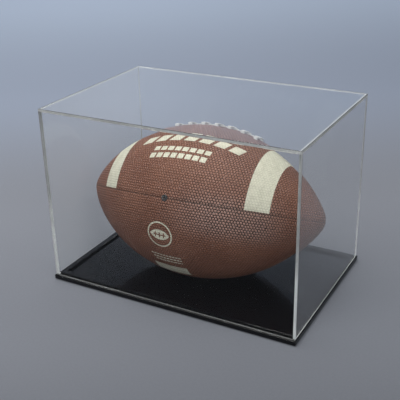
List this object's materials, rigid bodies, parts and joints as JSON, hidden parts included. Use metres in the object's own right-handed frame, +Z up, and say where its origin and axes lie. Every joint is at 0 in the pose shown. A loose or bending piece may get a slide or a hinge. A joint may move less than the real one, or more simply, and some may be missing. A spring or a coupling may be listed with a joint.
{
  "type": "football display case",
  "caption": "Box-shaped clear acrylic display case with a lift-off cover on a black base plate, shown with an American football lying inside.",
  "frame": {"origin": "centre of the case's footprint, on the surface that its feet stand on", "axes": "+X along the case's length, +Y from the case's front to its back, +Z up"},
  "size_m": [0.303, 0.201, 0.209],
  "materials": {
    "black_acrylic": "polished black acrylic sheet",
    "clear_acrylic": "polished clear acrylic sheet",
    "foot_rubber": "matt black rubber",
    "ball_leather": "pebbled brown leather",
    "lace_white": "woven white lace",
    "bladder_rubber": "smooth black rubber",
    "valve_rubber": "smooth black rubber"
  },
  "bodies": {
    "base": {"base_plate": "black_acrylic", "locating_strip_front": "black_acrylic", "locating_strip_back": "black_acrylic", "locating_strip_left": "black_acrylic", "locating_strip_right": "black_acrylic", "base_feet": "foot_rubber"},
    "cover": {"cover_top_panel": "clear_acrylic", "cover_front_panel": "clear_acrylic", "cover_back_panel": "clear_acrylic", "cover_left_panel": "clear_acrylic", "cover_right_panel": "clear_acrylic"},
    "football": {"football_panel_front_upper": "ball_leather", "football_panel_front_lower": "ball_leather", "football_panel_back_upper": "ball_leather", "football_panel_back_lower": "ball_leather", "football_bladder": "bladder_rubber", "football_lace_bars": "lace_white", "football_lace_cord": "lace_white", "football_valve": "valve_rubber"}
  },
  "joints": [
    {"name": "cover_lift", "type": "slide", "parent": "base", "child": "cover", "axis": [0, 0, 1], "range_m": [0, 0.26]},
    {"name": "football_turn", "type": "hinge", "parent": "base", "child": "football", "pos_m": [0, -0.007, 0.0918], "axis": [0.9976, 0.0698, 0], "range_deg": [-90, 90]}
  ]
}
